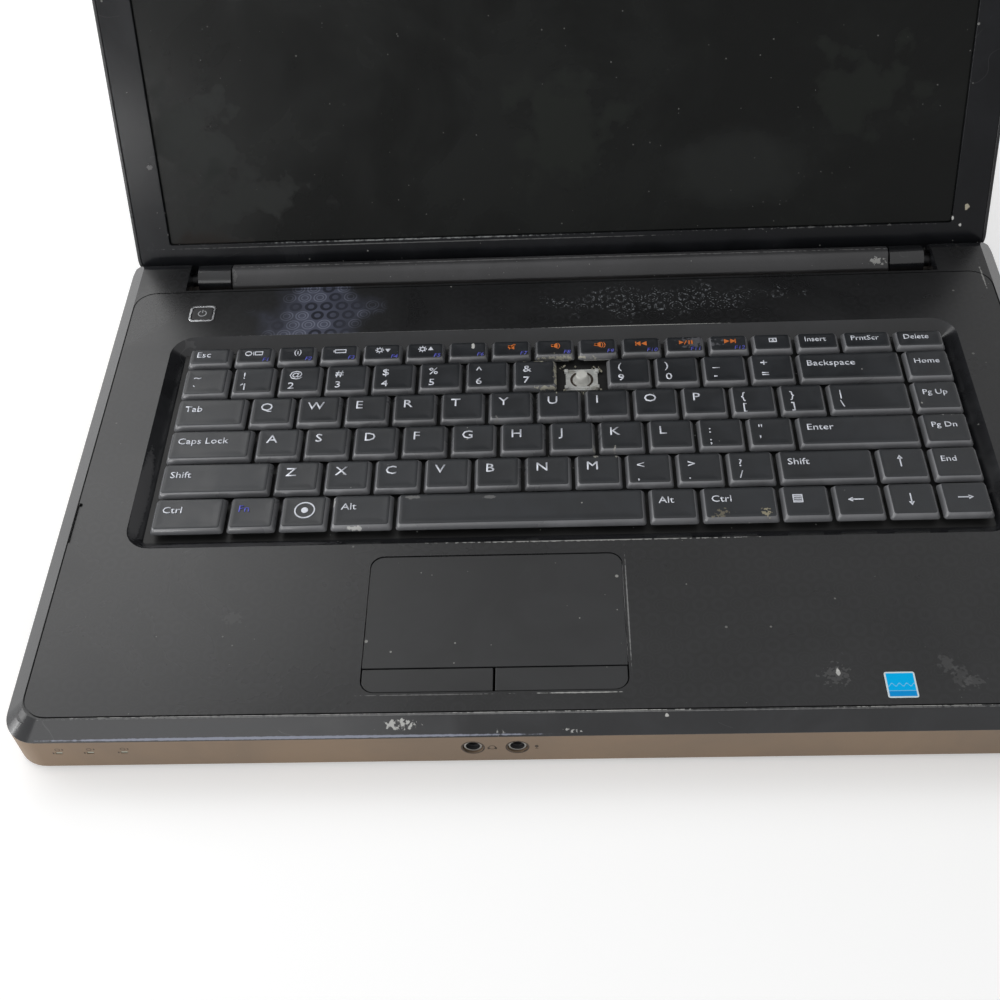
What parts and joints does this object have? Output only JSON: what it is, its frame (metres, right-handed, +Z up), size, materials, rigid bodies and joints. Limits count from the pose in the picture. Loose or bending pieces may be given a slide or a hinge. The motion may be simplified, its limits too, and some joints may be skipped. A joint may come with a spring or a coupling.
{
  "type": "broken laptop",
  "caption": "Open 15.6-inch notebook computer, old and damaged: a key cap lost, edges chipped and worn, keys dirty, with hinged lid, keys and disc tray that move.",
  "frame": {"origin": "on the table under the middle of the open laptop's box", "axes": "+X to the user's right, +Y away from the user, +Z up"},
  "size_m": [0.38, 0.3307, 0.2346],
  "materials": {
    "tray_plastic": "fine matt grain, grey-brown",
    "deck_plastic": "dark satin with a faint ring pattern, glossy border, worn edges",
    "key_plastic": "matt charcoal, polished by use, dirty",
    "button_plastic": "satin dark grey, scuffed",
    "lid_plastic": "glossy black with fine scratches",
    "bezel_plastic": "glossy black, chipped and dusty",
    "screen_glass": "dark glossy panel, smudged",
    "bar_plastic": "grey grained bar with worn bright edges",
    "cap_plastic": "glossy black",
    "steel": "plain pressed steel",
    "worn_chrome": "worn bright frame",
    "aluminium_plate": "plain sheet",
    "copper": "dull copper",
    "white_plastic": "white moulded plastic",
    "silicone": "translucent pale rubber",
    "black_rubber": "black rubber",
    "board_laminate": "green solder mask",
    "black_plastic": "black moulded plastic",
    "port_metal": "plated port shells",
    "light_lens": "cloudy clear lens",
    "label_paper": "small worn colour label"
  },
  "bodies": {
    "base": {"bottom_case": "tray_plastic", "top_case": "deck_plastic", "keyboard_plate": "aluminium_plate", "rubber_domes": "silicone", "scissor_frames": "white_plastic", "touchpad": "button_plastic", "touchpad_bracket": "steel", "motherboard": "board_laminate", "heat_sink": "copper", "fan_housing": "black_plastic", "memory_modules": "board_laminate", "wireless_card": "board_laminate", "hard_drive": "aluminium_plate", "disc_drive_case": "steel", "battery_pack": "black_plastic", "speakers": "black_plastic", "audio_jacks": "port_metal", "power_jack": "black_plastic", "side_ports": "port_metal", "network_socket": "black_plastic", "service_cover": "tray_plastic", "case_screws": "steel", "rubber_feet": "black_rubber", "hinge_brackets": "steel", "status_lights": "light_lens", "power_button_frame": "worn_chrome", "colour_label": "label_paper", "clock_cell": "steel", "jack_panel": "tray_plastic"},
    "lid": {"lid_cover": "lid_plastic", "lid_bezel": "bezel_plastic", "display_panel": "screen_glass", "hinge_bar": "bar_plastic", "hinge_caps": "cap_plastic", "hinge_arms": "steel", "lid_bumpers": "black_rubber", "display_cable": "black_plastic"},
    "left_click_button": {"left_click_button": "button_plastic"},
    "right_click_button": {"right_click_button": "button_plastic"},
    "power_button": {"power_button": "button_plastic"},
    "battery_latch": {"battery_latch": "black_plastic"},
    "fan_rotor": {"fan_rotor": "black_plastic"},
    "disc_tray": {"disc_tray": "black_plastic"},
    "disc_spindle": {"disc_spindle": "steel"},
    "eject_button": {"eject_button": "black_plastic"},
    "function_keys": {"function_keys": "key_plastic"},
    "number_keys": {"number_keys": "key_plastic"},
    "backspace_key": {"backspace_key": "key_plastic"},
    "tab_key": {"tab_key": "key_plastic"},
    "upper_letter_keys": {"upper_letter_keys": "key_plastic"},
    "backslash_key": {"backslash_key": "key_plastic"},
    "caps_lock_key": {"caps_lock_key": "key_plastic"},
    "middle_letter_keys": {"middle_letter_keys": "key_plastic"},
    "enter_key": {"enter_key": "key_plastic"},
    "left_shift_key": {"left_shift_key": "key_plastic"},
    "lower_letter_keys": {"lower_letter_keys": "key_plastic"},
    "right_shift_key": {"right_shift_key": "key_plastic"},
    "modifier_keys": {"modifier_keys": "key_plastic"},
    "space_bar": {"space_bar": "key_plastic"},
    "arrow_and_paging_keys": {"arrow_and_paging_keys": "key_plastic"}
  },
  "joints": [
    {"name": "lid_hinge", "type": "hinge", "parent": "base", "child": "lid", "pos_m": [0, 0.0705, 0.016], "axis": [1, 0, 0], "range_deg": [-12, 110.2]},
    {"name": "function_keys_press", "type": "slide", "parent": "base", "child": "function_keys", "axis": [0, 0, -1], "range_m": [0, 0.0022], "stiffness_N_per_m": 400, "springref_m": -0.001, "deforming": ["rubber_domes"]},
    {"name": "number_keys_press", "type": "slide", "parent": "base", "child": "number_keys", "axis": [0, 0, -1], "range_m": [0, 0.0022], "stiffness_N_per_m": 400, "springref_m": -0.001, "deforming": ["rubber_domes"]},
    {"name": "backspace_key_press", "type": "slide", "parent": "base", "child": "backspace_key", "axis": [0, 0, -1], "range_m": [0, 0.0022], "stiffness_N_per_m": 400, "springref_m": -0.001, "deforming": ["rubber_domes"]},
    {"name": "tab_key_press", "type": "slide", "parent": "base", "child": "tab_key", "axis": [0, 0, -1], "range_m": [0, 0.0022], "stiffness_N_per_m": 400, "springref_m": -0.001, "deforming": ["rubber_domes"]},
    {"name": "upper_letter_keys_press", "type": "slide", "parent": "base", "child": "upper_letter_keys", "axis": [0, 0, -1], "range_m": [0, 0.0022], "stiffness_N_per_m": 400, "springref_m": -0.001, "deforming": ["rubber_domes"]},
    {"name": "backslash_key_press", "type": "slide", "parent": "base", "child": "backslash_key", "axis": [0, 0, -1], "range_m": [0, 0.0022], "stiffness_N_per_m": 400, "springref_m": -0.001, "deforming": ["rubber_domes"]},
    {"name": "caps_lock_key_press", "type": "slide", "parent": "base", "child": "caps_lock_key", "axis": [0, 0, -1], "range_m": [0, 0.0022], "stiffness_N_per_m": 400, "springref_m": -0.001, "deforming": ["rubber_domes"]},
    {"name": "middle_letter_keys_press", "type": "slide", "parent": "base", "child": "middle_letter_keys", "axis": [0, 0, -1], "range_m": [0, 0.0022], "stiffness_N_per_m": 400, "springref_m": -0.001, "deforming": ["rubber_domes"]},
    {"name": "enter_key_press", "type": "slide", "parent": "base", "child": "enter_key", "axis": [0, 0, -1], "range_m": [0, 0.0022], "stiffness_N_per_m": 400, "springref_m": -0.001, "deforming": ["rubber_domes"]},
    {"name": "left_shift_key_press", "type": "slide", "parent": "base", "child": "left_shift_key", "axis": [0, 0, -1], "range_m": [0, 0.0022], "stiffness_N_per_m": 400, "springref_m": -0.001, "deforming": ["rubber_domes"]},
    {"name": "lower_letter_keys_press", "type": "slide", "parent": "base", "child": "lower_letter_keys", "axis": [0, 0, -1], "range_m": [0, 0.0022], "stiffness_N_per_m": 400, "springref_m": -0.001, "deforming": ["rubber_domes"]},
    {"name": "right_shift_key_press", "type": "slide", "parent": "base", "child": "right_shift_key", "axis": [0, 0, -1], "range_m": [0, 0.0022], "stiffness_N_per_m": 400, "springref_m": -0.001, "deforming": ["rubber_domes"]},
    {"name": "modifier_keys_press", "type": "slide", "parent": "base", "child": "modifier_keys", "axis": [0, 0, -1], "range_m": [0, 0.0022], "stiffness_N_per_m": 400, "springref_m": -0.001, "deforming": ["rubber_domes"]},
    {"name": "space_bar_press", "type": "slide", "parent": "base", "child": "space_bar", "axis": [0, 0, -1], "range_m": [0, 0.0022], "stiffness_N_per_m": 400, "springref_m": -0.001, "deforming": ["rubber_domes"]},
    {"name": "arrow_and_paging_keys_press", "type": "slide", "parent": "base", "child": "arrow_and_paging_keys", "axis": [0, 0, -1], "range_m": [0, 0.0022], "stiffness_N_per_m": 400, "springref_m": -0.001, "deforming": ["rubber_domes"]},
    {"name": "left_click_button_press", "type": "slide", "parent": "base", "child": "left_click_button", "axis": [0, 0, -1], "range_m": [0, 0.0006], "stiffness_N_per_m": 900, "springref_m": -0.0006},
    {"name": "right_click_button_press", "type": "slide", "parent": "base", "child": "right_click_button", "axis": [0, 0, -1], "range_m": [0, 0.0006], "stiffness_N_per_m": 900, "springref_m": -0.0006},
    {"name": "power_button_press", "type": "slide", "parent": "base", "child": "power_button", "axis": [0, 0, -1], "range_m": [0, 0.0006], "stiffness_N_per_m": 600, "springref_m": -0.0006},
    {"name": "battery_latch_slide", "type": "slide", "parent": "base", "child": "battery_latch", "axis": [1, 0, 0], "range_m": [0, 0.005], "stiffness_N_per_m": 80, "springref_m": -0.002},
    {"name": "fan_spin", "type": "hinge", "parent": "base", "child": "fan_rotor", "pos_m": [-0.151, -0.01715, 0.01], "axis": [0, 0, 1], "continuous": true},
    {"name": "disc_tray_slide", "type": "slide", "parent": "base", "child": "disc_tray", "axis": [1, 0, 0], "range_m": [0, 0.12]},
    {"name": "disc_spin", "type": "hinge", "parent": "disc_tray", "child": "disc_spindle", "pos_m": [0.124, -0.0655, 0.01], "axis": [0, 0, 1], "continuous": true},
    {"name": "eject_button_press", "type": "slide", "parent": "disc_tray", "child": "eject_button", "axis": [-1, 0, 0], "range_m": [0, 0.0005], "stiffness_N_per_m": 400, "springref_m": -0.0006}
  ]
}
